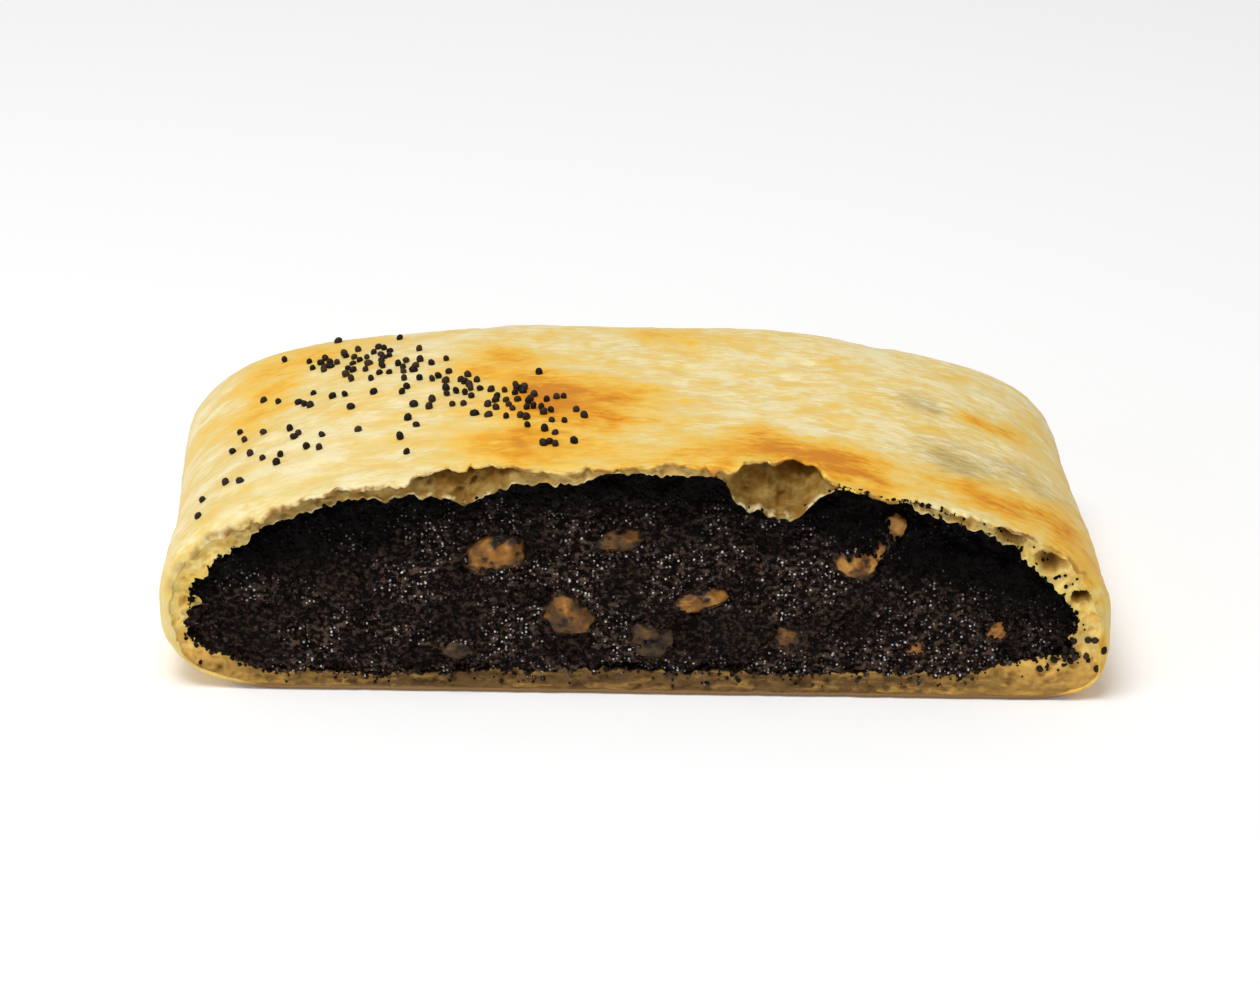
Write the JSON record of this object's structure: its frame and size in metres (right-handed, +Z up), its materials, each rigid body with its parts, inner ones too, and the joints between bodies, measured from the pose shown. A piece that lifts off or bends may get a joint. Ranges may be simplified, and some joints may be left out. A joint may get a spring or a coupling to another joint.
{
  "type": "poppy seed strudel, cut half",
  "caption": "Half of a baked strudel, cut across: thin golden dough crust with one closed end, dark poppy seed filling with walnut pieces at the cut, and poppy seeds strewn on top.",
  "frame": {"origin": "under the middle of the whole, on the surface that the underside rests on", "axes": "+X across the roll, along the cut face; +Y from the cut face to the closed end; +Z up"},
  "size_m": [0.1028, 0.0544, 0.0264],
  "materials": {
    "crust": "baked dough, pale gold with darker golden patches, satin",
    "filling": "moist ground poppy seed, nearly black, with small bright glints",
    "walnut": "chopped walnut, brown, slightly shiny"
  },
  "bodies": {
    "root": {"crust": "crust", "filling": "filling", "walnut_01": "walnut", "walnut_02": "walnut", "walnut_03": "walnut", "walnut_04": "walnut", "walnut_05": "walnut", "walnut_06": "walnut", "walnut_07": "walnut", "walnut_08": "walnut", "walnut_09": "walnut", "walnut_10": "walnut", "walnut_11": "walnut"}
  },
  "joints": []
}
